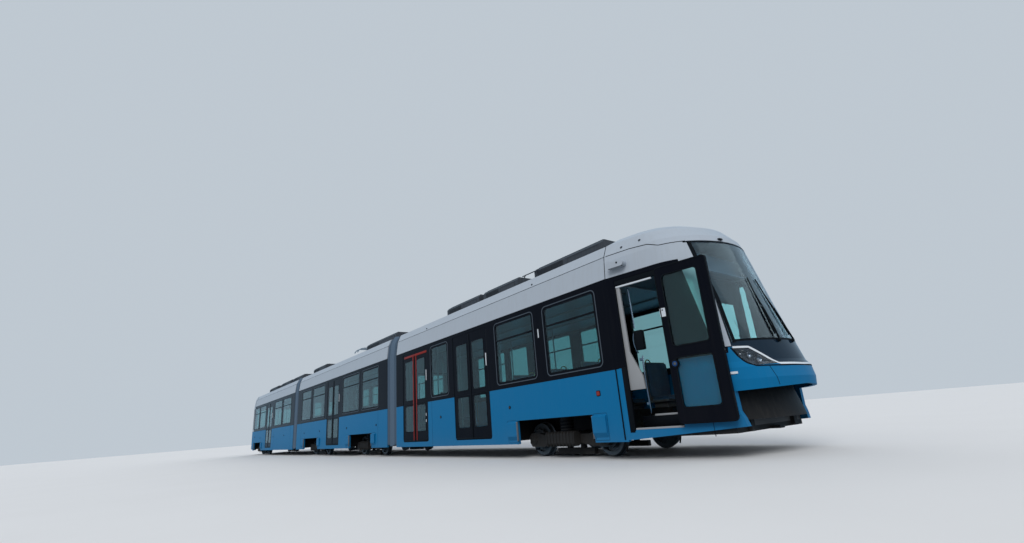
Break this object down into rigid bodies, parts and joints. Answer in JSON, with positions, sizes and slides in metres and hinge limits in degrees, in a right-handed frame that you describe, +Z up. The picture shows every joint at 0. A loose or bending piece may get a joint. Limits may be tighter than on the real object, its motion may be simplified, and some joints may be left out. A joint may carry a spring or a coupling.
{
  "type": "articulated low-floor tram",
  "caption": "Low-floor tram in three hinged sections on pivoting bogies, with a raked glazed cab, sliding doors, gangways and a folding roof current collector.",
  "frame": {"origin": "on the floor under the middle of the tram's length and width", "axes": "+X towards the cab, +Y towards the left side, +Z up"},
  "size_m": [32.9998, 2.839, 3.915],
  "materials": {
    "blue_paint": "gloss blue",
    "white_paint": "pale grey white",
    "black_gloss": "gloss black",
    "tinted_glass": "green tint",
    "clear_glass": "clear laminated",
    "lamp_lens": "clear lens",
    "roof_grey": "matt dark grey",
    "under_black": "matt black",
    "bellows_grey": "matt grey blue",
    "steel": "satin",
    "wheel_steel": "machined steel",
    "seat_fabric": "woven",
    "cab_plastic": "grained"
  },
  "bodies": {
    "middle_section": {"middle_doors": "black_gloss", "middle_floor": "under_black", "middle_roof": "white_paint", "middle_roof_boxes": "roof_grey", "middle_seats": "seat_fabric", "middle_side_panels": "blue_paint", "middle_window_band": "black_gloss", "middle_windows": "tinted_glass", "pantograph_base": "steel"},
    "front_section": {"apron": "under_black", "cab_dome": "white_paint", "cab_fascia": "white_paint", "cab_lower_sides": "blue_paint", "cab_partition": "cab_plastic", "cab_sides": "black_gloss", "door_arms": "steel", "driver_desk": "cab_plastic", "driver_seat": "seat_fabric", "front_door_leaf": "black_gloss", "front_doors": "black_gloss", "front_floor": "under_black", "front_roof": "white_paint", "front_roof_boxes": "roof_grey", "front_seats": "seat_fabric", "front_side_panels": "blue_paint", "front_window_band": "black_gloss", "front_windows": "tinted_glass", "headlamps": "lamp_lens", "nose_panel": "blue_paint", "windscreen": "clear_glass", "windscreen_mask": "black_gloss"},
    "rear_section": {"rear_doors": "black_gloss", "rear_end_frame": "white_paint", "rear_end_panel": "blue_paint", "rear_end_roof": "white_paint", "rear_floor": "under_black", "rear_roof": "white_paint", "rear_roof_boxes": "roof_grey", "rear_screen": "tinted_glass", "rear_seats": "seat_fabric", "rear_side_panels": "blue_paint", "rear_window_band": "black_gloss", "rear_windows": "tinted_glass"},
    "front_gangway": {"front_gangway": "bellows_grey"},
    "rear_gangway": {"rear_gangway": "bellows_grey"},
    "bogie_1": {"bogie_1": "under_black"},
    "bogie_2": {"bogie_2": "under_black"},
    "bogie_3": {"bogie_3": "under_black"},
    "bogie_4": {"bogie_4": "under_black"},
    "collector_head": {"collector_head": "steel"},
    "pantograph_lower_arm": {"pantograph_lower_arm": "steel"},
    "pantograph_upper_arm": {"pantograph_upper_arm": "steel"},
    "wheelset_1": {"wheelset_1": "wheel_steel"},
    "wheelset_2": {"wheelset_2": "wheel_steel"},
    "wheelset_3": {"wheelset_3": "wheel_steel"},
    "wheelset_4": {"wheelset_4": "wheel_steel"},
    "wheelset_5": {"wheelset_5": "wheel_steel"},
    "wheelset_6": {"wheelset_6": "wheel_steel"},
    "wheelset_7": {"wheelset_7": "wheel_steel"},
    "wheelset_8": {"wheelset_8": "wheel_steel"}
  },
  "joints": [
    {"name": "front_articulation", "type": "hinge", "parent": "middle_section", "child": "front_section", "pos_m": [5.5, 0, 0.3], "axis": [0, 0, 1], "range_deg": [-22, 22]},
    {"name": "rear_articulation", "type": "hinge", "parent": "middle_section", "child": "rear_section", "pos_m": [-5.5, 0, 0.3], "axis": [0, 0, -1], "range_deg": [-22, 22]},
    {"name": "front_gangway_turn", "type": "hinge", "parent": "middle_section", "child": "front_gangway", "pos_m": [5.5, 0, 0.3], "axis": [0, 0, 1], "range_deg": [-11, 11]},
    {"name": "rear_gangway_turn", "type": "hinge", "parent": "middle_section", "child": "rear_gangway", "pos_m": [-5.5, 0, 0.3], "axis": [0, 0, -1], "range_deg": [-11, 11]},
    {"name": "bogie_1_yaw", "type": "hinge", "parent": "front_section", "child": "bogie_1", "pos_m": [12.56, 0, 0.3], "axis": [0, 0, 1], "range_deg": [-6, 6]},
    {"name": "wheelset_1_spin", "type": "hinge", "parent": "bogie_1", "child": "wheelset_1", "pos_m": [13.46, 0, 0.325], "axis": [0, 1, 0], "continuous": true},
    {"name": "wheelset_2_spin", "type": "hinge", "parent": "bogie_1", "child": "wheelset_2", "pos_m": [11.66, 0, 0.325], "axis": [0, 1, 0], "continuous": true},
    {"name": "bogie_2_yaw", "type": "hinge", "parent": "middle_section", "child": "bogie_2", "pos_m": [2.9, 0, 0.3], "axis": [0, 0, 1], "range_deg": [-6, 6]},
    {"name": "wheelset_3_spin", "type": "hinge", "parent": "bogie_2", "child": "wheelset_3", "pos_m": [3.8, 0, 0.325], "axis": [0, 1, 0], "continuous": true},
    {"name": "wheelset_4_spin", "type": "hinge", "parent": "bogie_2", "child": "wheelset_4", "pos_m": [2, 0, 0.325], "axis": [0, 1, 0], "continuous": true},
    {"name": "bogie_3_yaw", "type": "hinge", "parent": "middle_section", "child": "bogie_3", "pos_m": [-2.9, 0, 0.3], "axis": [0, 0, 1], "range_deg": [-6, 6]},
    {"name": "wheelset_5_spin", "type": "hinge", "parent": "bogie_3", "child": "wheelset_5", "pos_m": [-2, 0, 0.325], "axis": [0, 1, 0], "continuous": true},
    {"name": "wheelset_6_spin", "type": "hinge", "parent": "bogie_3", "child": "wheelset_6", "pos_m": [-3.8, 0, 0.325], "axis": [0, 1, 0], "continuous": true},
    {"name": "bogie_4_yaw", "type": "hinge", "parent": "rear_section", "child": "bogie_4", "pos_m": [-14.15, 0, 0.3], "axis": [0, 0, 1], "range_deg": [-6, 6]},
    {"name": "wheelset_7_spin", "type": "hinge", "parent": "bogie_4", "child": "wheelset_7", "pos_m": [-13.25, 0, 0.325], "axis": [0, 1, 0], "continuous": true},
    {"name": "wheelset_8_spin", "type": "hinge", "parent": "bogie_4", "child": "wheelset_8", "pos_m": [-15.05, 0, 0.325], "axis": [0, 1, 0], "continuous": true},
    {"name": "pantograph_raise", "type": "hinge", "parent": "middle_section", "child": "pantograph_lower_arm", "pos_m": [0.5, 0, 3.74], "axis": [0, 1, 0], "range_deg": [0, 50]},
    {"name": "pantograph_knee", "type": "hinge", "parent": "pantograph_lower_arm", "child": "pantograph_upper_arm", "pos_m": [-0.9, 0, 3.78], "axis": [0, 1, 0], "range_deg": [-95, 0]},
    {"name": "pantograph_head_level", "type": "hinge", "parent": "pantograph_upper_arm", "child": "collector_head", "pos_m": [0.9, 0, 3.84], "axis": [0, 1, 0], "range_deg": [0, 45]}
  ],
  "couplings": [
    {"joint": "front_gangway_turn", "follows": "front_articulation", "ratio": 0.5},
    {"joint": "rear_gangway_turn", "follows": "rear_articulation", "ratio": 0.5},
    {"joint": "pantograph_knee", "follows": "pantograph_raise", "ratio": -1.88},
    {"joint": "pantograph_head_level", "follows": "pantograph_raise", "ratio": 0.88}
  ]
}
